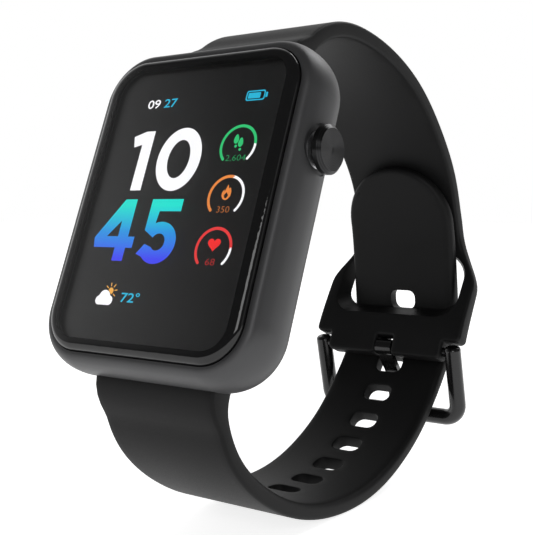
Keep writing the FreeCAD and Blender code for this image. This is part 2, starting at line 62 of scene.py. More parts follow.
MOUNTS = {m["name"]: m for m in frame["record"]["mounts"]}
JOINTS = {j["name"]: j for j in frame["joints"]}
OUT = Vector(MOUNTS["charger_seat"]["axis"])
UP = Vector((0, -OUT.z, OUT.y))
BAR_Y = 7.4
BAR_Z = 20.55
BAR_MIDDLE = (Vector(JOINTS["upper_band_swing"]["pos_m"]) + Vector(JOINTS["lower_band_swing"]["pos_m"])) / 2
CENTRE_X = sum(corner.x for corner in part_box("case_housing")) / 2
ORIGIN = Vector((CENTRE_X, BAR_MIDDLE.y, BAR_MIDDLE.z)) - OUT * (BAR_Y * MM)
WATCH = Matrix((
    (MM, 0, 0, ORIGIN.x),
    (0, OUT.y * MM, UP.y * MM, ORIGIN.y),
    (0, OUT.z * MM, UP.z * MM, ORIGIN.z),
    (0, 0, 0, 1)))


# ---------------------------------------------------------------- materials

SCREEN_W = 27.9
SCREEN_H = 37.1
SCREEN_CORNER = 3.4
TURNED_RING = 0.6


def new_material(name):
    material = bpy.data.materials.new(name)
    material.use_nodes = True
    nodes = material.node_tree.nodes
    return material, nodes, material.node_tree.links, nodes["Principled BSDF"]


def set_values(shader, **values):
    for key, value in values.items():
        shader.inputs[key.replace("_", " ")].default_value = value


def noise_node(nodes, links, scale, detail=3.0, stretch=(1, 1, 1)):
    coordinates = nodes.new("ShaderNodeTexCoord")
    mapping = nodes.new("ShaderNodeMapping")
    mapping.inputs["Scale"].default_value = stretch
    noise = nodes.new("ShaderNodeTexNoise")
    noise.inputs["Scale"].default_value = scale
    noise.inputs["Detail"].default_value = detail
    links.new(coordinates.outputs["Object"], mapping.inputs["Vector"])
    links.new(mapping.outputs["Vector"], noise.inputs["Vector"])
    return noise


def spread(nodes, links, source, low, high):
    """Maps a 0 to 1 value to a range."""
    node = nodes.new("ShaderNodeMapRange")
    node.inputs["From Min"].default_value = 0.3
    node.inputs["From Max"].default_value = 0.7
    node.inputs["To Min"].default_value = low
    node.inputs["To Max"].default_value = high
    links.new(source, node.inputs["Value"])
    return node.outputs["Result"]


def colour_between(nodes, links, source, low, high):
    ramp = nodes.new("ShaderNodeValToRGB")
    ramp.color_ramp.elements[0].position = 0.3
    ramp.color_ramp.elements[0].color = (*low, 1)
    ramp.color_ramp.elements[1].position = 0.7
    ramp.color_ramp.elements[1].color = (*high, 1)
    links.new(source, ramp.inputs["Fac"])
    return ramp.outputs["Color"]


def add_bump(nodes, links, shader, height, depth_mm, strength=0.5):
    bump = nodes.new("ShaderNodeBump")
    bump.inputs["Strength"].default_value = strength
    bump.inputs["Distance"].default_value = depth_mm * MM
    links.new(height, bump.inputs["Height"])
    links.new(bump.outputs["Normal"], shader.inputs["Normal"])


def surface(name, low, high, rough, metallic=0.0, grain_mm=0.25, depth_mm=0.01, stretch=(1, 1, 1), **values):
    """Plain solid surface with a fine grain in its colour, roughness and relief."""
    material, nodes, links, shader = new_material(name)
    tone = noise_node(nodes, links, 1 / (12 * MM), 2.0, stretch)
    grain = noise_node(nodes, links, 1 / (grain_mm * MM), 4.0, stretch)
    links.new(colour_between(nodes, links, tone.outputs["Fac"], low, high), shader.inputs["Base Color"])
    links.new(spread(nodes, links, grain.outputs["Fac"], rough[0], rough[1]), shader.inputs["Roughness"])
    add_bump(nodes, links, shader, grain.outputs["Fac"], depth_mm)
    set_values(shader, Metallic=metallic, **values)
    return material


def grey(value):
    return (value, value, value * 1.03)


def glass_material(name, tint, roughness, ior=1.46):
    material, nodes, links, shader = new_material(name)
    smudge = noise_node(nodes, links, 1 / (9 * MM), 3.0)
    rough = spread(nodes, links, smudge.outputs["Fac"], roughness, roughness + 0.004)
    links.new(rough, shader.inputs["Roughness"])
    tone = colour_between(nodes, links, smudge.outputs["Fac"], tint, tuple(min(1, c * 1.03) for c in tint))
    links.new(tone, shader.inputs["Base Color"])
    set_values(shader, Transmission_Weight=1.0, IOR=ior)
    return material


def beyond_screen(nodes, links, half_w, half_h, corner):
    """1 outside a rounded rectangle on the dial and 0 inside it."""
    coordinates = nodes.new("ShaderNodeTexCoord")
    shift = nodes.new("ShaderNodeVectorMath")
    shift.operation = "SUBTRACT"
    shift.inputs[1].default_value = ORIGIN
    links.new(coordinates.outputs["Object"], shift.inputs[0])
    reaches = []
    for axis, half in ((Vector((1, 0, 0)), half_w), (UP, half_h)):
        along = nodes.new("ShaderNodeVectorMath")
        along.operation = "DOT_PRODUCT"
        along.inputs[1].default_value = axis
        links.new(shift.outputs["Vector"], along.inputs[0])
        value = along.outputs["Value"]
        for operation, number in (("ABSOLUTE", 0), ("SUBTRACT", (half - corner) * MM), ("MAXIMUM", 0)):
            step = nodes.new("ShaderNodeMath")
            step.operation = operation
            step.inputs[1].default_value = number
            links.new(value, step.inputs[0])
            value = step.outputs["Value"]
        reaches.append(value)
    both = nodes.new("ShaderNodeCombineXYZ")
    links.new(reaches[0], both.inputs["X"])
    links.new(reaches[1], both.inputs["Y"])
    length = nodes.new("ShaderNodeVectorMath")
    length.operation = "LENGTH"
    links.new(both.outputs["Vector"], length.inputs[0])
    beyond = nodes.new("ShaderNodeMath")
    beyond.operation = "GREATER_THAN"
    beyond.inputs[1].default_value = corner * MM
    links.new(length.outputs["Value"], beyond.inputs[0])
    return beyond.outputs["Value"]


def cover_glass_material():
    """Clear over the screen, with a black border all round it."""
    material = glass_material("cover_glass", (0.97, 0.97, 0.98), 0.0)
    nodes, links = material.node_tree.nodes, material.node_tree.links
    shader = nodes["Principled BSDF"]
    beyond = beyond_screen(nodes, links, SCREEN_W / 2, SCREEN_H / 2, SCREEN_CORNER)
    clear = shader.inputs["Base Color"].links[0].from_socket
    mix = nodes.new("ShaderNodeMix")
    mix.data_type = "RGBA"
    mix.inputs["B"].default_value = (0.006, 0.006, 0.0063, 1)
    links.new(beyond, mix.inputs["Factor"])
    links.new(clear, mix.inputs["A"])
    links.new(mix.outputs["Result"], shader.inputs["Base Color"])
    within = nodes.new("ShaderNodeMath")
    within.operation = "SUBTRACT"
    within.inputs[0].default_value = 1.0
    links.new(beyond, within.inputs[1])
    links.new(within.outputs["Value"], shader.inputs["Transmission Weight"])
    return material


def glow_material(name, top, bottom, z_top, z_bottom, strength=1.0):
    """Backlit colour that runs from one tone to another down the dial."""
    material, nodes, links, shader = new_material(name)
    geometry = nodes.new("ShaderNodeNewGeometry")
    along = nodes.new("ShaderNodeVectorMath")
    along.operation = "DOT_PRODUCT"
    along.inputs[1].default_value = UP
    height = nodes.new("ShaderNodeMapRange")
    base = ORIGIN.dot(UP)
    height.inputs["From Min"].default_value = base + z_bottom * MM
    height.inputs["From Max"].default_value = base + z_top * MM
    ramp = nodes.new("ShaderNodeValToRGB")
    ramp.color_ramp.elements[0].color = (*bottom, 1)
    ramp.color_ramp.elements[1].color = (*top, 1)
    links.new(geometry.outputs["Position"], along.inputs[0])
    links.new(along.outputs["Value"], height.inputs["Value"])
    links.new(height.outputs["Result"], ramp.inputs["Fac"])
    links.new(ramp.outputs["Color"], shader.inputs["Emission Color"])
    set_values(shader, Base_Color=(0, 0, 0, 1), Roughness=0.5, Emission_Strength=strength)
    shader.inputs["Specular IOR Level"].default_value = 0.0
    return material


def spun_metal():
    """Turned metal: fine rings about the button's axis."""
    low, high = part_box("button_cap")
    centre = (low + high) / 2
    material, nodes, links, shader = new_material("spun_button")
    coordinates = nodes.new("ShaderNodeTexCoord")
    offset = nodes.new("ShaderNodeVectorMath")
    offset.operation = "SUBTRACT"
    offset.inputs[1].default_value = centre
    flat = nodes.new("ShaderNodeVectorMath")
    flat.operation = "MULTIPLY"
    flat.inputs[1].default_value = (0, 1, 1)
    rings = nodes.new("ShaderNodeTexWave")
    rings.wave_type = "RINGS"
    rings.rings_direction = "SPHERICAL"
    rings.inputs["Scale"].default_value = 1 / (TURNED_RING * MM)
    rings.inputs["Distortion"].default_value = 0.4
    links.new(coordinates.outputs["Object"], offset.inputs[0])
    links.new(offset.outputs["Vector"], flat.inputs[0])
    links.new(flat.outputs["Vector"], rings.inputs["Vector"])
    tangent = nodes.new("ShaderNodeTangent")
    tangent.direction_type = "RADIAL"
    tangent.axis = "X"
    links.new(tangent.outputs["Tangent"], shader.inputs["Tangent"])
    links.new(colour_between(nodes, links, rings.outputs["Fac"], grey(0.022), grey(0.035)),
              shader.inputs["Base Color"])
    add_bump(nodes, links, shader, rings.outputs["Fac"], 0.02, 0.35)
    set_values(shader, Metallic=0.9, Roughness=0.3, Anisotropic=0.85, Anisotropic_Rotation=0.25)
    return material


def make_materials():
    return {
        "case": surface("satin_case", grey(0.060), grey(0.068), (0.42, 0.48), 0.55, 0.12, 0.004),
        "silicone": surface("silicone", grey(0.006), grey(0.0078), (0.48, 0.56), 0.0, 0.16, 0.012,
                            Specular_IOR_Level=0.14),
        "buckle": surface("black_wire", grey(0.010), grey(0.014), (0.18, 0.24), 0.6, 0.3, 0.002,
                          Coat_Weight=0.4, Coat_Roughness=0.12),
        "spun": spun_metal(),
        "glass": cover_glass_material(),
        "film": glass_material("touch_film", (0.97, 0.97, 0.97), 0.0, 1.05),
        "sensor_glass": glass_material("sensor_glass", (0.30, 0.30, 0.32), 0.0),
        "display": surface("display_off", grey(0.004), grey(0.005), (0.35, 0.4), 0.0, 2.0, 0.001),
        "gasket": surface("gasket", grey(0.004), grey(0.006), (0.6, 0.7)),
        "flex": surface("flex", (0.30, 0.13, 0.02), (0.36, 0.17, 0.03), (0.35, 0.45)),
        "tape": surface("tape", grey(0.5), grey(0.6), (0.6, 0.7)),
        "chassis": surface("pressed_plate", grey(0.42), grey(0.5), (0.3, 0.4), 1.0, 0.2, 0.006, (1, 8, 1)),
        "board": surface("board", (0.004, 0.05, 0.02), (0.01, 0.075, 0.035), (0.3, 0.4), 0.0, 0.6, 0.02),
        "chip": surface("chip", grey(0.012), grey(0.02), (0.45, 0.55), 0.0, 0.1, 0.008),
        "foil": surface("battery_foil", grey(0.5), grey(0.6), (0.25, 0.4), 0.9, 1.5, 0.03),
        "steel": surface("steel", grey(0.42), grey(0.5), (0.25, 0.35), 1.0, 0.15, 0.003, (6, 1, 1)),
        "brass": surface("brass", (0.5, 0.33, 0.1), (0.6, 0.4, 0.14), (0.25, 0.35), 1.0),
        "gold": surface("gold", (0.8, 0.5, 0.15), (0.85, 0.56, 0.2), (0.15, 0.25), 1.0),
        "magnet": surface("plated", grey(0.55), grey(0.6), (0.15, 0.2), 1.0),
        "back": surface("back_cover", grey(0.012), grey(0.017), (0.42, 0.5), 0.0, 0.1, 0.006),
        "led": surface("led_lens", (0.4, 0.6, 0.35), (0.5, 0.7, 0.45), (0.1, 0.2)),
    }


NODE_MATERIALS = {
    "case_metal": "case", "button_metal": "spun", "buckle_metal": "buckle", "silicone": "silicone",
    "glass": "glass", "display": "display", "film": "film", "flex": "flex", "gasket": "gasket",
    "tape": "tape", "chassis_metal": "chassis", "board": "board", "chip": "chip",
    "battery_foil": "foil", "steel": "steel", "brass": "brass", "contact_gold": "gold",
    "magnet": "magnet", "back_plastic": "back", "sensor_glass": "sensor_glass", "led": "led"}


def dress_nodes(materials):
    """Gives each CAD node the procedural material of its slot."""
    for sub in frame["record"]["subparts"]:
        node = frame["nodes"][sub["node"]]
        node.data.materials.clear()
        node.data.materials.append(materials[NODE_MATERIALS[sub["material_slot"]]])


# ---------------------------------------------------------------- mesh helpers

def mesh_piece(name, bm, material, body, smooth_deg):
    """Turns a bmesh in watch millimetres into a piece on a body."""
    bmesh.ops.remove_doubles(bm, verts=bm.verts, dist=1e-4)
    bmesh.ops.recalc_face_normals(bm, faces=bm.faces)
    bmesh.ops.transform(bm, matrix=WATCH, verts=bm.verts)
    mesh = bpy.data.meshes.new(name)
    bm.to_mesh(mesh)
    bm.free()
    mesh.shade_smooth()
    mesh.set_sharp_from_angle(angle=math.radians(smooth_deg))
    piece = bpy.data.objects.new(name, mesh)
    bpy.context.scene.collection.objects.link(piece)
    mesh.materials.append(material)
    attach(piece, body)
    return piece


def rounded_outline(corners, steps=6):
    """Closed outline from (u, v, radius) corners, each rounded by an arc."""
    points = []
    count = len(corners)
    for index, (u, v, radius) in enumerate(corners):
        here = Vector((u, v))
        if radius == 0:
            points.append(here)
            continue
        before = (Vector(corners[index - 1][:2]) - here).normalized()
        after = (Vector(corners[(index + 1) % count][:2]) - here).normalized()
        half_angle = before.angle(after) / 2
        reach = radius / math.tan(half_angle)
        centre = here + (before + after).normalized() * (radius / math.sin(half_angle))
        start = here + before * reach - centre
        sweep = start.angle_signed(here + after * reach - centre)
        for step in range(steps + 1):
            turn = Matrix.Rotation(-sweep * step / steps, 2)
            points.append(centre + turn @ start)
    return points


class Profile:
    """Smooth curve through (y, z) points, read by the distance along it."""

    def __init__(self, points):
        values = np.array(points, float)
        steps = np.hypot(*np.diff(values, axis=0).T)
        knots = np.concatenate([[0], np.cumsum(steps)])
        self.knots = knots
        self.values = values
        self.slopes = self.natural_slopes(knots, values)
        fine = np.linspace(0, knots[-1], 3000)
        places = np.array([self.at_parameter(t) for t in fine])
        lengths = np.concatenate([[0], np.cumsum(np.hypot(*np.diff(places, axis=0).T))])
        self.fine = fine
        self.lengths = lengths
        self.places = places
        self.length = float(lengths[-1])

    @staticmethod
    def natural_slopes(t, p):
        count = len(t)
        matrix = np.zeros((count, count))
        right = np.zeros((count, 2))
        matrix[0, 0:2] = (2, 1)
        right[0] = 3 * (p[1] - p[0]) / (t[1] - t[0])
        matrix[-1, -2:] = (1, 2)
        right[-1] = 3 * (p[-1] - p[-2]) / (t[-1] - t[-2])
        for i in range(1, count - 1):
            before = t[i] - t[i - 1]
            after = t[i + 1] - t[i]
            matrix[i, i - 1:i + 2] = (after, 2 * (before + after), before)
            right[i] = 3 * (after * (p[i] - p[i - 1]) / before + before * (p[i + 1] - p[i]) / after)
        return np.linalg.solve(matrix, right)

    def at_parameter(self, t):
        index = min(max(np.searchsorted(self.knots, t) - 1, 0), len(self.knots) - 2)
        width = self.knots[index + 1] - self.knots[index]
        x = (t - self.knots[index]) / width
        start, end = self.values[index], self.values[index + 1]
        slope_a, slope_b = self.slopes[index] * width, self.slopes[index + 1] * width
        return ((2 * x ** 3 - 3 * x ** 2 + 1) * start + (x ** 3 - 2 * x ** 2 + x) * slope_a
                + (3 * x ** 2 - 2 * x ** 3) * end + (x ** 3 - x ** 2) * slope_b)

    def frame(self, at):
        """Point and direction at a distance, carried on in a straight line past the start."""
        inside = min(max(at, 0.0), self.length)
        t = float(np.interp(inside, self.lengths, self.fine))
        step = self.fine[1]
        ahead = self.at_parameter(min(t + step, self.knots[-1]))
        behind = self.at_parameter(max(t - step, 0.0))
        direction = (ahead - behind) / np.linalg.norm(ahead - behind)
        return self.at_parameter(t) + direction * (at - inside), direction

    def distance_to(self, z, after=0.0):
        """Distance at which the curve passes height z, looking beyond a given distance."""
        far = self.lengths >= after
        index = np.argmin(np.abs(self.places[far, 1] - z))
        return float(self.lengths[far][index])


# ---------------------------------------------------------------- band

STRAP_W = 19.5
STRAP_T = 2.2
STRAP_CASE_T = 4.0
THICK_FROM = 1.0
THICK_TO = 5.5
TAIL_T = 1.6
BLOCK_T = 3.0
END_TAPER = 22.0
STRAP_START = -1.98
START_CORNER = 0.9
BAR_BORE_R = 0.8
HOLE_PITCH = 6.0
HOLE_W = 4.7
HOLE_L = 3.2
HOLE_CORNER = 1.2
HOLES_BEFORE_TONGUE = 6
HOLES_AFTER_TONGUE = 2
KNOB_SLOT_AT = (7.05, 10.0)
KNOB_SLOT_SIZE = (2.9, 5.2, 1.4)
TONGUE_HOLE_Z = -5.2
UPPER_FACE = [(9.4, 20.55), (9.35, 22.1), (9.8, 23.8), (11.4, 26.4), (15.0, 29.6),
              (21.9, 32.3), (29.0, 33.3), (39.4, 32.4), (47.3, 29.4), (55.2, 24.2),
              (58.7, 20.2), (61.2, 16.8), (61.9, 14.0), (61.3, 10.0), (60.2, 5.0),
              (59.4, 0.0), (59.3, -4.3)]
LOWER_FACE = [(9.4, -20.55), (9.3, -22.0), (9.6, -23.6), (10.9, -25.6), (13.4, -27.9),
              (17.0, -29.8), (23.0, -31.4), (31.0, -31.75), (38.5, -30.3), (44.6, -27.9),
              (50.0, -24.5), (54.6, -20.2), (58.2, -15.5), (60.8, -10.5), (62.9, -5.2),
              (64.1, -0.5), (64.3, 3.4), (62.6, 7.6), (59.6, 13.2), (57.2, 17.3),
              (54.0, 21.5), (50.3, 25.6)]


def smooth_step(share):
    share = min(max(share, 0.0), 1.0)
    return 0.5 - 0.5 * math.cos(math.pi * share)


def layer_heights(at, length, end_t):
    """Heights of the two faces above the wrist face, closing to a round end on the bar."""
    case_part = (STRAP_CASE_T - STRAP_T) * (1 - smooth_step((at - THICK_FROM) / (THICK_TO - THICK_FROM)))
    end_part = (end_t - STRAP_T) * smooth_step(1 - (length - at) / END_TAPER)
    thick = STRAP_T + case_part + end_part
    if at >= 0:
        return 0.0, thick
    radius = STRAP_CASE_T / 2
    inset = radius - math.sqrt(max(radius ** 2 - at ** 2, 0.0))
    return inset, thick - inset


def resample(loop, step=0.8):
    """Splits the long segments of a closed outline."""
    points = []
    for index, here in enumerate(loop):
        after = loop[(index + 1) % len(loop)]
        parts = max(1, math.ceil((after - here).length / step))
        points += [here.lerp(after, k / parts) for k in range(parts)]
    return points


def turned_way(loop, anticlockwise):
    area = sum(a.x * b.y - b.x * a.y for a, b in zip(loop, loop[1:] + loop[:1]))
    return loop if (area > 0) == anticlockwise else list(reversed(loop))


def moved_in(loop, distance):
    """Moves an outline to its left, which is into the material."""
    moved = []
    for index, here in enumerate(loop):
        before = (here - loop[index - 1]).normalized()
        after = (loop[(index + 1) % len(loop)] - here).normalized()
        normal = Vector((-before.y - after.y, before.x + after.x)) / (1 + before.dot(after))
        moved.append(here + normal * distance)
    return moved


def crossings(points, loop):
    """True for the points inside a closed outline."""
    inside = np.zeros(len(points), bool)
    corners = np.array([tuple(p) for p in loop])
    for (ax, ay), (bx, by) in zip(corners, np.roll(corners, -1, axis=0)):
        spans = (ay > points[:, 1]) != (by > points[:, 1])
        height = np.where(spans, points[:, 1] - ay, 0)
        x = ax + height * (bx - ax) / ((by - ay) or 1)
        inside ^= spans & (points[:, 0] < x)
    return inside


def fill(loops, step=0.85):
    """Triangles between an outline and its holes, on a grid of inner points."""
    rim = [Vector(p) for loop in loops for p in loop]
    rim_array = np.array([tuple(p) for p in rim])
    low, high = rim_array.min(axis=0), rim_array.max(axis=0)
    across = np.linspace(low[0], high[0], max(4, int((high[0] - low[0]) / step)))
    along = np.linspace(low[1], high[1], max(4, int((high[1] - low[1]) / step)))
    grid = np.array([(x, y) for y in along for x in across])
    keep = crossings(grid, loops[0])
    for loop in loops[1:]:
        keep &= ~crossings(grid, loop)
    nearest = np.full(len(grid), np.inf)
    for point in rim_array:
        nearest = np.minimum(nearest, np.hypot(*(grid - point).T))
    grid = grid[keep & (nearest > 0.5 * step)]
    points = rim + [Vector(p) for p in grid]
    edges = []
    start = 0
    for loop in loops:
        count = len(loop)
        edges += [(start + k, start + (k + 1) % count) for k in range(count)]
        start += count
    found, _, faces, sources, _, _ = delaunay_2d_cdt(points, edges, [], 0, 1e-5)
    middles = np.array([tuple(sum((found[i] for i in face), Vector((0, 0))) / 3) for face in faces])
    keep = crossings(middles, loops[0])
    for loop in loops[1:]:
        keep &= ~crossings(middles, loop)
    origin = []
    for spot, source in zip(found, sources):
        if not source:
            points.append(spot)
        origin.append(source[0] if source else len(points) - 1)
    return points, [[origin[i] for i in face] for face, kept in zip(faces, keep) if kept]


def strap_piece(name, profile, side, end_t, outline, holes, rounds, material, body, outer_shift=None):
    """Sheet of silicone wrapped round the profile, with rounded edges on its outline and holes."""
    loops = [turned_way(resample(outline), True)] + [turned_way(resample(h), False) for h in holes]
    outer_loops = [loops[0]] + [[outer_shift(p) if outer_shift else p for p in h] for h in loops[1:]]
    bm = bmesh.new()

    def place(point, layer, rise):
        """Vertex at a rise from the wrist face (layer 0) or down from the outer face (layer 1)."""
        low, high = layer_heights(point.y, profile.length, end_t)
        rise = min(rise, 0.45 * (high - low))
        height = high - rise if layer else low + rise
        spot, direction = profile.frame(point.y)
        outward = np.array((direction[1], -direction[0])) * side
        y, z = spot + outward * height
        return bm.verts.new((point.x, y, z))

    steps = 4
    rim_verts = {0: [], 1: []}
    edge_loops = {0: [], 1: []}
    for index, (near, far) in enumerate(zip(loops, outer_loops)):
        rings = []
        for layer, loop in ((0, near), (1, far)):
            radius = rounds[0 if index else 1 + layer]
            for step in range(steps + 1):
                turn = math.radians(90 * (step if layer == 0 else steps - step) / steps)
                moved = moved_in(loop, radius * (1 - math.sin(turn)))
                rise = radius * (1 - math.cos(turn))
                rings.append([place(p, layer, rise) for p in moved])
                if (layer, step) in ((0, 0), (1, steps)):
                    rim_verts[layer] += rings[-1]
                    edge_loops[layer].append(moved)
        for ring, following in zip(rings, rings[1:]):
            for k in range(len(ring)):
                j = (k + 1) % len(ring)
                bm.faces.new((ring[k], ring[j], following[j], following[k]))
    for layer in (0, 1):
        points, faces = fill(edge_loops[layer])
        verts = rim_verts[layer] + [place(p, layer, 0.0) for p in points[len(rim_verts[layer]):]]
        for face in faces:
            bm.faces.new([verts[i] for i in face])
    return mesh_piece(name, bm, material, body, 50)


def rod_cutter(reach, y, z):
    """Bore along x, as far as reach on both sides."""
    bm = bmesh.new()
    place = Matrix.Translation((0, y, z)) @ Matrix.Rotation(math.pi / 2, 4, "Y")
    bmesh.ops.create_cone(bm, cap_ends=True, segments=32, radius1=BAR_BORE_R, radius2=BAR_BORE_R,
                          depth=2 * reach, matrix=place)
    return bm


def knob_slot_cutter(z):
    """Slot in which the release tip's knob slides."""
    bm = bmesh.new()
    centre = Matrix.Translation((*KNOB_SLOT_AT, z)) @ Matrix.Diagonal((*KNOB_SLOT_SIZE, 1))
    bmesh.ops.create_cube(bm, size=1, matrix=centre)
    return bm


def cut_piece(piece, cutters):
    """Cuts bores and slots, given in watch millimetres, out of a piece."""
    for bm in cutters:
        bmesh.ops.transform(bm, matrix=WATCH, verts=bm.verts)
        mesh = bpy.data.meshes.new("cutter")
        bm.to_mesh(mesh)
        bm.free()
        cutter = bpy.data.objects.new("cutter", mesh)
        bpy.context.scene.collection.objects.link(cutter)
        cut = piece.modifiers.new("cut", "BOOLEAN")
        cut.operation = "DIFFERENCE"
        cut.solver = "EXACT"
        cut.object = cutter
        bpy.context.view_layer.update()
        depsgraph = bpy.context.evaluated_depsgraph_get()
        done = bpy.data.meshes.new_from_object(piece.evaluated_get(depsgraph))
        piece.modifiers.remove(cut)
        piece.data = done
        bpy.data.objects.remove(cutter)
    piece.data.set_sharp_from_angle(angle=math.radians(40))


def make_lower_strap(materials):
    profile = Profile(LOWER_FACE)
    half = STRAP_W / 2
    end = profile.length
    corners = [(-half, STRAP_START, START_CORNER), (half, STRAP_START, START_CORNER)]
    tail_steps = 32
    for step in range(tail_steps + 1):
        turn = math.pi * step / tail_steps
        corners.append((half * math.cos(turn), end - half + half * math.sin(turn), 0))
    outline = rounded_outline(corners)
    tongue_at = profile.distance_to(TONGUE_HOLE_Z, after=40.0)
    holes = []
    for index in range(-HOLES_BEFORE_TONGUE, HOLES_AFTER_TONGUE + 1):
        middle = tongue_at + HOLE_PITCH * index
        near, far = middle - HOLE_L / 2, middle + HOLE_L / 2
        corners = [(-HOLE_W / 2, near, HOLE_CORNER), (HOLE_W / 2, near, HOLE_CORNER),
                   (HOLE_W / 2, far, HOLE_CORNER), (-HOLE_W / 2, far, HOLE_CORNER)]
        holes.append(rounded_outline(corners, 5))
    rounds = (0.2, 0.8, 0.5)
    piece = strap_piece("lower_strap_silicone", profile, 1, TAIL_T, outline, holes, rounds,
                        materials["silicone"], "lower_band")
    cut_piece(piece, [rod_cutter(12, BAR_Y, -BAR_Z), knob_slot_cutter(-BAR_Z)])
    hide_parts("lower_strap")


BLOCK_TOP_Z = 18.0
BLOCK_FULL_Z = 8.4
BLOCK_HALF = 13.8
TAB_HALF = 10.75
NOTCH_Z = -1.2
TONGUE_SLOT_HALF = 1.6
TONGUE_SLOT_TOP_Z = -1.0
WIDEN_STEPS = 12
WINDOW_TOP_Z = 14.7
WINDOW_LOW = (2.9, 5.3)
WINDOW_HALF = (11.7, 10.6)


def make_upper_strap(materials):
    profile = Profile(UPPER_FACE)
    half = STRAP_W / 2
    end = profile.length

    def along(z):
        return profile.distance_to(z, after=60.0)

    right = [(half, STRAP_START, START_CORNER)]
    for step in range(WIDEN_STEPS + 1):
        z = BLOCK_TOP_Z + (BLOCK_FULL_Z - BLOCK_TOP_Z) * step / WIDEN_STEPS
        u = half + (BLOCK_HALF - half) * smooth_step(step / WIDEN_STEPS)
        right.append((u, along(z), 0))
    right += [(BLOCK_HALF, along(NOTCH_Z), 0.9), (TAB_HALF, along(NOTCH_Z), 0.25),
              (TAB_HALF, end, 0.9), (TONGUE_SLOT_HALF, end, 0.7),
              (TONGUE_SLOT_HALF, along(TONGUE_SLOT_TOP_Z), 0.4)]
    left = [(-u, at, radius) for u, at, radius in reversed(right)]
    outline = rounded_outline(left + right)
    low, top = along(WINDOW_LOW[0]), along(WINDOW_TOP_Z)
    corners = [(-WINDOW_HALF[0], top, 4.6), (WINDOW_HALF[0], top, 4.6),
               (WINDOW_HALF[0], low, 3.6), (-WINDOW_HALF[0], low, 3.6)]
    window = rounded_outline(corners, 8)
    low_outer = along(WINDOW_LOW[1])

    def outer_shift(point):
        """Narrower and shorter on the outside, so that the window's walls slope."""
        return Vector((point.x * WINDOW_HALF[1] / WINDOW_HALF[0],
                       top + (point.y - top) * (low_outer - top) / (low - top)))

    rounds = (0.15, 0.5, 0.45)
    piece = strap_piece("upper_strap_silicone", profile, -1, BLOCK_T, outline, [window], rounds,
                        materials["silicone"], "upper_band", outer_shift)
    pin = WATCH.inverted() @ Vector(JOINTS["frame_swing"]["pos_m"])
    cut_piece(piece, [rod_cutter(12, BAR_Y, BAR_Z), knob_slot_cutter(BAR_Z), rod_cutter(14, pin.y, pin.z)])
    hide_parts("upper_strap")


# ---------------------------------------------------------------- springs

SPRING_MIDDLE_X = 2.6
COIL_R = 0.3
COIL_WIRE_R = 0.08
COIL_TURNS = 4.5
DISH_OUTER_R = 2.3
DISH_INNER_R = 1.2
DISH_THICK = 0.12
DISH_LIP = 0.13


def joined_rings(rings, closed=False):
    """Tube mesh through rings of points."""
    bm = bmesh.new()
    verts = [[bm.verts.new(p) for p in ring] for ring in rings]
    pairs = list(zip(verts, verts[1:] + verts[:1] if closed else verts[1:]))
    for ring, following in pairs:
        for k in range(len(ring)):
            j = (k + 1) % len(ring)
            bm.faces.new((ring[k], ring[j], following[j], following[k]))
    if not closed:
        bm.faces.new(verts[0])
        bm.faces.new(list(reversed(verts[-1])))
    return bm


def coil(x_from, x_to, y, z):
    """Wire wound about a line along x."""
    rings = []
    count = int(COIL_TURNS * 16)
    around = [2 * math.pi * k / 8 for k in range(8)]
    for step in range(count + 1):
        turn = 2 * math.pi * COIL_TURNS * step / count
        x = x_from + COIL_WIRE_R + (x_to - x_from - 2 * COIL_WIRE_R) * step / count
        out = Vector((0, math.cos(turn), math.sin(turn)))
        middle = Vector((x, y, z)) + out * COIL_R
        rings.append([middle + (out * math.cos(a) + Vector((math.sin(a), 0, 0))) * COIL_WIRE_R
                      for a in around])
    return joined_rings(rings)


def make_bar_springs(materials):
    """Each bar's spring in two halves, beside the plain tip and the release tip."""
    halves = (("plain", 0.0, SPRING_MIDDLE_X), ("release", SPRING_MIDDLE_X, 2 * SPRING_MIDDLE_X))
    for band, z in (("upper", BAR_Z), ("lower", -BAR_Z)):
        for side, x_from, x_to in halves:
            piece = mesh_piece(f"{band}_spring_{side}_half", coil(x_from, x_to, BAR_Y, z),
                               materials["steel"], f"{band}_band", 60)
            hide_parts(f"{band}_bar_spring")
            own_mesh(piece)


def make_button_spring(materials):
    """Dished ring under the button's cap."""
    low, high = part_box("button_spring")
    centre = (low + high) / 2
    seat, top = low.x, high.x
    profile = [(0.0, DISH_OUTER_R), (0.0, DISH_OUTER_R - DISH_THICK), (1 - DISH_LIP, DISH_INNER_R),
               (1.0, DISH_INNER_R), (1.0, DISH_INNER_R + DISH_THICK), (DISH_LIP, DISH_OUTER_R)]
    back = WATCH.inverted()
    rings = []
    for step in range(48):
        turn = 2 * math.pi * step / 48
        out = Vector((0, math.cos(turn), math.sin(turn))) * MM
        rings.append([back @ (Vector((seat + (top - seat) * share, centre.y, centre.z)) + out * radius)
                      for share, radius in profile])
    piece = mesh_piece("button_dished_spring", joined_rings(rings, True), materials["steel"], "case",
                       30)
    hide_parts("button_spring")
    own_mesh(piece)


# ---------------------------------------------------------------- dial

DIAL_Y = 1.785
WHITE = (0.9, 0.9, 0.92)
CYAN = (0.025, 0.50, 0.74)
GREEN = (0.035, 0.60, 0.19)
ORANGE = (0.9, 0.28, 0.06)
RED = (0.85, 0.05, 0.05)


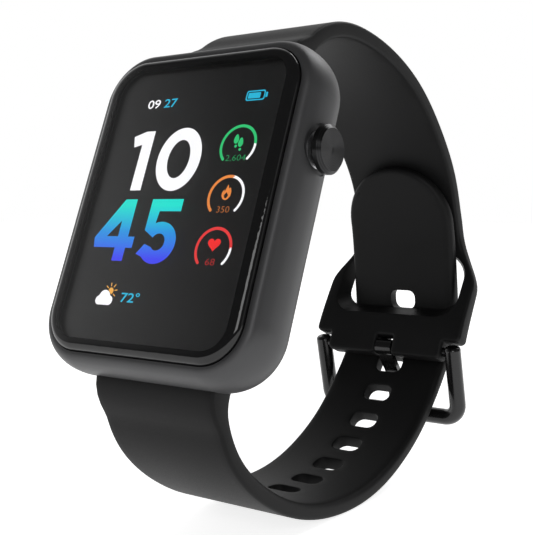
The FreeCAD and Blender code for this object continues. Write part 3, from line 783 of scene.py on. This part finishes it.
def flat_piece(name, loops, material):
    """Thin lit shape on the display from outlines in dial x and z."""
    bm = bmesh.new()
    for loop_set in loops:
        outlines = [[Vector((x, DIAL_Y, z)) for x, z in loop] for loop in loop_set]
        points = [p for loop in outlines for p in loop]
        verts = [bm.verts.new(p) for p in points]
        plane = [[Vector((p.x, p.z, 0)) for p in loop] for loop in outlines]
        for triangle in tessellate_polygon(plane):
            bm.faces.new([verts[i] for i in triangle])
    made = bmesh.ops.extrude_face_region(bm, geom=bm.faces[:])
    moved = [g for g in made["geom"] if isinstance(g, bmesh.types.BMVert)]
    bmesh.ops.translate(bm, vec=(0, -0.008, 0), verts=moved)
    return mesh_piece(name, bm, material, "case", 20)


def ellipse(cx, cz, rx, rz, start=0, end=360, steps=48):
    points = []
    for step in range(steps + 1):
        a = math.radians(start + (end - start) * step / steps)
        points.append((cx + rx * math.cos(a), cz + rz * math.sin(a)))
    return points if abs(end - start) < 360 else points[:-1]


def stroke_arc(cx, cz, radius, width, start, end):
    """Arc with round ends."""
    outer = ellipse(cx, cz, radius + width / 2, radius + width / 2, start, end)
    inner = ellipse(cx, cz, radius - width / 2, radius - width / 2, end, start)

    def cap(angle, sweep):
        a = math.radians(angle)
        middle = (cx + radius * math.cos(a), cz + radius * math.sin(a))
        first = angle if sweep > 0 else angle + 180
        return ellipse(*middle, width / 2, width / 2, first, first + 180, 8)[1:-1]

    if end > start:
        return outer + cap(end, 1) + inner + cap(start, -1)
    return outer + cap(end, -1)[::-1] + inner + cap(start, 1)[::-1]


def numbers(name, text, left, right, base, top, material, bold=0.0):
    """Numbers fitted to a box on the dial."""
    curve = bpy.data.curves.new(name, "FONT")
    curve.body = text
    curve.offset = bold
    curve.resolution_u = 3
    holder = bpy.data.objects.new(name + "_curve", curve)
    bpy.context.scene.collection.objects.link(holder)
    bpy.context.view_layer.update()
    mesh = bpy.data.meshes.new_from_object(holder.evaluated_get(bpy.context.evaluated_depsgraph_get()))
    bpy.data.objects.remove(holder)
    bm = bmesh.new()
    bm.from_mesh(mesh)
    bpy.data.meshes.remove(mesh)
    xs = [v.co.x for v in bm.verts]
    ys = [v.co.y for v in bm.verts]
    for v in bm.verts:
        x = left + (v.co.x - min(xs)) / (max(xs) - min(xs)) * (right - left)
        z = base + (v.co.y - min(ys)) / (max(ys) - min(ys)) * (top - base)
        v.co = (x, DIAL_Y, z)
    return mesh_piece(name, bm, material, "case", 20)


def make_digits():
    white = glow_material("glow_white", WHITE, WHITE, 10, 1, 1.25)
    fade = glow_material("glow_fade", (0.012, 0.86, 0.72), (0.06, 0.07, 1.0), -0.5, -7.6, 0.95)
    fade.node_tree.nodes["Color Ramp"].color_ramp.elements.new(0.5).color = (0.02, 0.34, 0.86, 1)
    one = [(-9.5, 9.17), (-7.48, 9.85), (-5.96, 9.85), (-5.96, 1.56), (-7.79, 1.56), (-7.75, 7.98),
           (-9.08, 7.67)]
    flat_piece("digit_1", [[one]], white)
    flat_piece("digit_0", [[ellipse(-0.77, 5.73, 3.6, 4.32), ellipse(-0.77, 5.75, 1.79, 2.62)]], white)
    four = [(-7.95, 0.31), (-5.96, 0.31), (-5.96, -4.75), (-4.83, -4.75), (-4.83, -6.25), (-5.96, -6.25),
            (-5.96, -8.02), (-7.79, -8.02), (-7.79, -6.25), (-11.54, -6.25), (-11.85, -4.95)]
    flat_piece("digit_4", [[four, [(-7.72, -2.6), (-7.72, -4.75), (-9.7, -4.75)]]], fade)
    bowl = ellipse(-0.75, -5.47, 2.92, 2.76, 112, -137, 40)
    bowl_inside = ellipse(-0.75, -5.37, 1.13, 1.12, -152, 150, 30)
    five = [(-3.31, 0.31), (1.83, 0.31), (1.83, -1.31), (-1.66, -1.31)]
    five += bowl + [(-3.9, -6.98), (-2.83, -5.67)] + bowl_inside[1:] + [(-2.27, -4.48), (-3.35, -3.85)]
    flat_piece("digit_5", [[five]], fade)
    return white


GAUGES = [("steps", 7.25, GREEN, 5), ("energy", 0.62, ORANGE, 80), ("pulse", -6.03, RED, 4)]
GAUGE_X = 8.29
GAUGE_R = 2.57


def make_gauges(white):
    """Three rings, each lit up to its reading, with the reading and a sign inside."""
    tints, dim = {}, {}
    for name, z, colour, split in GAUGES:
        tints[name] = glow_material("glow_" + name, colour, tuple(c * 0.92 for c in colour), z + 3, z - 3)
        dim[name] = glow_material("count_" + name, colour, colour, 10, -10, 0.55)
        flat_piece("gauge_" + name, [[stroke_arc(GAUGE_X, z, GAUGE_R, 0.38, 224, split)]], tints[name])
        flat_piece("gauge_rest_" + name, [[stroke_arc(GAUGE_X, z, GAUGE_R, 0.34, split - 3, -44)]], white)
    numbers("count_steps", "2,604", 6.83, 9.87, 5.1, 6.0, dim["steps"], -0.012)
    numbers("count_energy", "350", 7.38, 9.29, -1.46, -0.67, dim["energy"], -0.012)
    numbers("count_pulse", "68", 7.58, 8.98, -8.08, -7.25, dim["pulse"], -0.012)
    make_feet(tints["steps"])
    make_flame(tints["energy"])
    make_heart()


def make_feet(material):
    feet = []
    for cx, cz in ((7.84, 8.1), (8.6, 7.65)):
        sole = [(cx + 0.36 * math.cos(a) * (1 - 0.22 * math.sin(a)), cz + 0.62 * math.sin(a))
                for a in np.linspace(0, 2 * math.pi, 24, endpoint=False)]
        feet.append([sole])
        feet.append([ellipse(cx + 0.1, cz - 0.95, 0.2, 0.2, steps=16)])
    flat_piece("icon_steps", feet, material)


def make_flame(material):
    flame = [(8.29, 2.15), (8.55, 1.6), (8.75, 1.75), (8.98, 1.2), (8.95, 0.65), (8.65, 0.25), (8.29, 0.12),
             (7.9, 0.25), (7.62, 0.65), (7.6, 1.1), (7.85, 1.5), (7.95, 1.2), (8.1, 1.6)]
    core = [(8.29, 1.15), (8.6, 0.75), (8.45, 0.42), (8.29, 0.36), (8.1, 0.42), (7.95, 0.75)]
    flat_piece("icon_energy", [[flame, core]], material)


def make_heart():
    heart = []
    for a in np.linspace(0, 2 * math.pi, 40, endpoint=False):
        x = math.sin(a) ** 3
        z = (13 * math.cos(a) - 5 * math.cos(2 * a) - 2 * math.cos(3 * a) - math.cos(4 * a)) / 16
        heart.append((8.27 + 0.96 * x, -5.45 + 0.92 * z))
    glow = glow_material("glow_heart", (1, 0.03, 0.03), (0.9, 0.03, 0.03), -4, -7)
    flat_piece("icon_pulse", [[heart]], glow)


DATE_ROW = (13.17, 14.42)
TEMPERATURE_ROW = (-13.33, -12.04)
SUN_AT = (-6.42, -12.0)


def make_status_rows(white):
    """Date and battery sign above the time, temperature and sky below it."""
    cyan = glow_material("glow_cyan", CYAN, CYAN, 15, 13)
    sun = glow_material("glow_sun", (1.0, 0.52, 0.1), (0.9, 0.4, 0.06), -11, -13)
    numbers("date_month", "09", -8.6, -6.41, *DATE_ROW, white, 0.012)
    numbers("date_day", "27", -5.71, -3.52, *DATE_ROW, cyan, 0.012)
    numbers("temperature", "72°", -4.46, -1.35, *TEMPERATURE_ROW, cyan, 0.012)
    make_battery_sign(cyan)
    make_cloud(white)
    make_sun(sun)


def make_battery_sign(material):
    shell = rounded_outline([(7.73, 13.17, 0.3), (10.6, 13.17, 0.3), (10.6, 14.54, 0.3),
                             (7.73, 14.54, 0.3)], 4)
    hollow = rounded_outline([(7.9, 13.34, 0.2), (10.43, 13.34, 0.2), (10.43, 14.37, 0.2),
                              (7.9, 14.37, 0.2)], 4)
    charge = rounded_outline([(8.03, 13.47, 0.12), (9.9, 13.47, 0.12), (9.9, 14.24, 0.12),
                              (8.03, 14.24, 0.12)], 4)
    nub = rounded_outline([(10.68, 13.5, 0.1), (10.98, 13.5, 0.1), (10.98, 14.2, 0.1), (10.68, 14.2, 0.1)], 4)
    flat_piece("battery_sign", [[shell, hollow], [charge], [nub]], material)


def make_cloud(material):
    cloud = ellipse(-7.28, -12.85, 0.95, 0.95, 20, 165, 16)
    cloud += ellipse(-8.08, -13.25, 0.62, 0.6, 110, 270, 12) + ellipse(-6.4, -13.22, 0.62, 0.62, -90, 75, 12)
    flat_piece("icon_cloud", [[cloud]], material)


def make_sun(material):
    """Disc and rays, left out where the cloud covers them."""
    rays = []
    for k in range(8):
        a = math.radians(10 + 45 * k)
        if 150 < 10 + 45 * k < 320:
            continue
        along = Vector((math.cos(a), math.sin(a)))
        across = Vector((-along.y, along.x)) * 0.06
        start = Vector(SUN_AT) + along * 0.62
        end = start + along * 0.48
        corners = (start - across, end - across, end + across, start + across)
        rays.append([[tuple(corner) for corner in corners]])
    disc = ellipse(*SUN_AT, 0.44, 0.44, -75, 165, 24)
    flat_piece("icon_sun", [[disc]] + rays, material)


# ---------------------------------------------------------------- studio

CAMERA_AT = (79.98, -81.73, -33.73)
CAMERA_SENSOR = 36.0
CAMERA_LENS = 64.571
CAMERA_AZIMUTH = 36.22
CAMERA_ELEVATION = 3.37


def make_camera():
    data = bpy.data.cameras.new("camera")
    data.sensor_width = CAMERA_SENSOR
    data.lens = CAMERA_LENS
    data.clip_start = 0.005
    camera = bpy.data.objects.new("camera", data)
    bpy.context.scene.collection.objects.link(camera)
    azimuth, elevation = math.radians(CAMERA_AZIMUTH), math.radians(CAMERA_ELEVATION)
    forward = Vector((-math.sin(azimuth) * math.cos(elevation), math.cos(azimuth) * math.cos(elevation),
                      -math.sin(elevation)))
    camera.location = WATCH @ Vector(CAMERA_AT)
    camera.rotation_mode = "QUATERNION"
    camera.rotation_quaternion = forward.to_track_quat("-Z", "Y")
    bpy.context.scene.camera = camera


def area_light(name, place, target, size, power):
    data = bpy.data.lights.new(name, "AREA")
    data.shape = "RECTANGLE"
    data.size, data.size_y = size
    data.energy = power
    light = bpy.data.objects.new(name, data)
    bpy.context.scene.collection.objects.link(light)
    light.location = place
    light.rotation_mode = "QUATERNION"
    light.rotation_quaternion = (Vector(target) - Vector(place)).to_track_quat("-Z", "Y")


def toward(nodes, links, direction, start, end):
    """0 to 1 as the world turns from one cosine to another towards a direction."""
    coordinates = nodes.new("ShaderNodeTexCoord")
    along = nodes.new("ShaderNodeVectorMath")
    along.operation = "DOT_PRODUCT"
    along.inputs[1].default_value = Vector(direction).normalized()
    share = nodes.new("ShaderNodeMapRange")
    share.interpolation_type = "SMOOTHSTEP"
    share.inputs["From Min"].default_value = start
    share.inputs["From Max"].default_value = end
    links.new(coordinates.outputs["Generated"], along.inputs[0])
    links.new(along.outputs["Value"], share.inputs["Value"])
    return share


def make_world():
    """White room seen as the backdrop, which lights the watch from behind and from the left."""
    world = bpy.data.worlds.new("studio")
    bpy.context.scene.world = world
    world.use_nodes = True
    nodes, links = world.node_tree.nodes, world.node_tree.links
    room = nodes["Background"]
    room.inputs["Color"].default_value = (1, 1, 1, 1)
    behind = toward(nodes, links, (-0.59, 0.80, -0.06), 0.2, 0.76)
    behind.inputs["To Min"].default_value = 0.09
    left = toward(nodes, links, (-0.95, -0.25, 0.2), 0.81, 0.96)
    left.inputs["To Max"].default_value = 0.42
    both = nodes.new("ShaderNodeMath")
    links.new(behind.outputs["Result"], both.inputs[0])
    links.new(left.outputs["Result"], both.inputs[1])
    links.new(both.outputs["Value"], room.inputs["Strength"])
    backdrop = nodes.new("ShaderNodeBackground")
    backdrop.inputs["Color"].default_value = (1, 1, 1, 1)
    seen = nodes.new("ShaderNodeLightPath")
    mix = nodes.new("ShaderNodeMixShader")
    links.new(seen.outputs["Is Camera Ray"], mix.inputs["Fac"])
    links.new(room.outputs["Background"], mix.inputs[1])
    links.new(backdrop.outputs["Background"], mix.inputs[2])
    links.new(mix.outputs["Shader"], nodes["World Output"].inputs["Surface"])


def make_floor():
    bm = bmesh.new()
    bmesh.ops.create_grid(bm, x_segments=2, y_segments=2, size=3.0)
    mesh = bpy.data.meshes.new("floor")
    bm.to_mesh(mesh)
    bm.free()
    floor = bpy.data.objects.new("floor", mesh)
    bpy.context.scene.collection.objects.link(floor)
    material, nodes, links, shader = new_material("pale_floor")
    cloudy = noise_node(nodes, links, 3.0)
    links.new(colour_between(nodes, links, cloudy.outputs["Fac"], (0.93, 0.93, 0.93), (0.95, 0.95, 0.95)),
              shader.inputs["Base Color"])
    set_values(shader, Roughness=0.9, Emission_Color=(1, 1, 1, 1), Emission_Strength=0.8)
    mesh.materials.append(material)


def make_lights():
    area_light("front", (0.30, -0.50, 0.28), (0, 0, 0.03), (0.25, 0.25), 0.8)
    area_light("top", (0.05, 0.42, 0.5), (0, 0.02, 0.03), (0.3, 0.3), 0.9)
    area_light("side", (0.55, -0.02, 0.12), (0, 0, 0.03), (0.15, 0.4), 0.08)
    area_light("strip", (0.42, 0.46, 0.12), (0, 0, 0.04), (0.03, 0.2), 0.10)


def main():
    bpy.context.scene.view_settings.view_transform = "Standard"
    materials = make_materials()
    make_camera()
    make_world()
    make_floor()
    make_lights()
    dress_nodes(materials)
    make_lower_strap(materials)
    make_upper_strap(materials)
    make_bar_springs(materials)
    make_button_spring(materials)
    white = make_digits()
    make_gauges(white)
    make_status_rows(white)


main()
